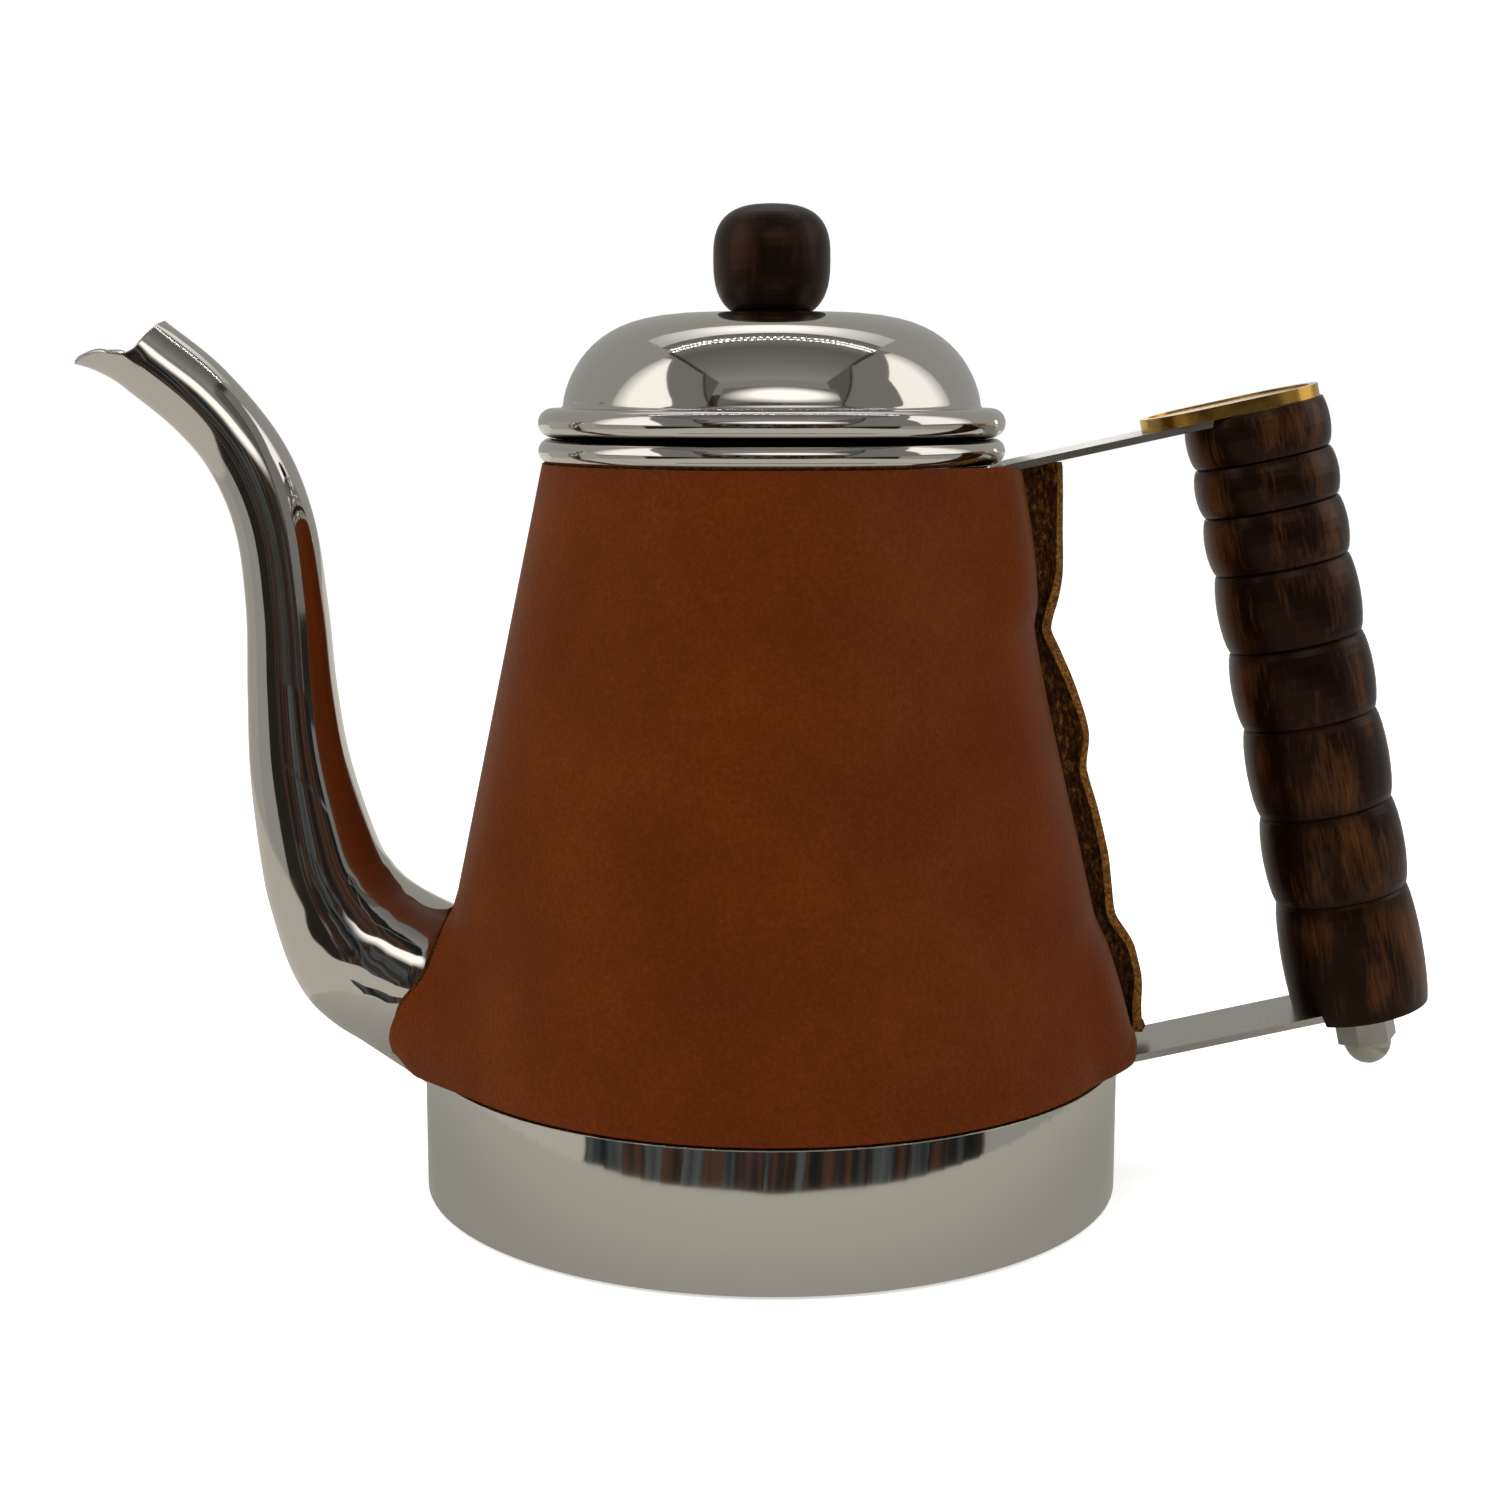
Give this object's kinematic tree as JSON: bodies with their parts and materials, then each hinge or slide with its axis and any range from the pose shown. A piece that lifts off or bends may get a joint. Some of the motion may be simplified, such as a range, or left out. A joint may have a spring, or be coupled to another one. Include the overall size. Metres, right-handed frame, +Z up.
{
  "type": "gooseneck kettle",
  "caption": "Conical steel drip kettle with a slim curved spout, a leather sleeve, a turned wood side handle and a domed lift-off lid with a wooden knob.",
  "frame": {"origin": "centre of the flat bottom, on the axis of the round body", "axes": "+Z up along the body's axis, +X towards the handle, -X towards the spout"},
  "size_m": [0.2864, 0.1484, 0.2066],
  "materials": {
    "polished_steel": "mirror-polished stainless steel",
    "satin_strap": "bright rolled stainless strip",
    "stained_wood": "turned hardwood, dark brown stain, satin lacquer",
    "zinc_steel": "zinc-plated steel",
    "nickel_steel": "nickel-plated steel, dull",
    "polished_brass": "polished brass",
    "tan_leather": "smooth vegetable-tanned leather, reddish tan grain side and brown suede flesh side",
    "waxed_thread": "waxed linen thread"
  },
  "bodies": {
    "kettle": {"base_cap": "polished_steel", "body_shell": "polished_steel", "spout_tube": "polished_steel", "upper_strap": "satin_strap", "lower_strap": "satin_strap", "grip": "stained_wood", "handle_bolt": "zinc_steel", "acorn_nut": "nickel_steel", "thumb_plate": "polished_brass", "leather_sleeve": "tan_leather", "seam_tacks": "waxed_thread"},
    "lid": {"lid_dome": "polished_steel", "lid_skirt": "polished_steel", "knob": "stained_wood", "knob_insert": "polished_brass", "knob_screw": "zinc_steel", "knob_washer": "zinc_steel"}
  },
  "joints": [
    {"name": "lid_lift", "type": "slide", "parent": "kettle", "child": "lid", "axis": [0, 0, 1], "range_m": [0, 0.06]}
  ]
}
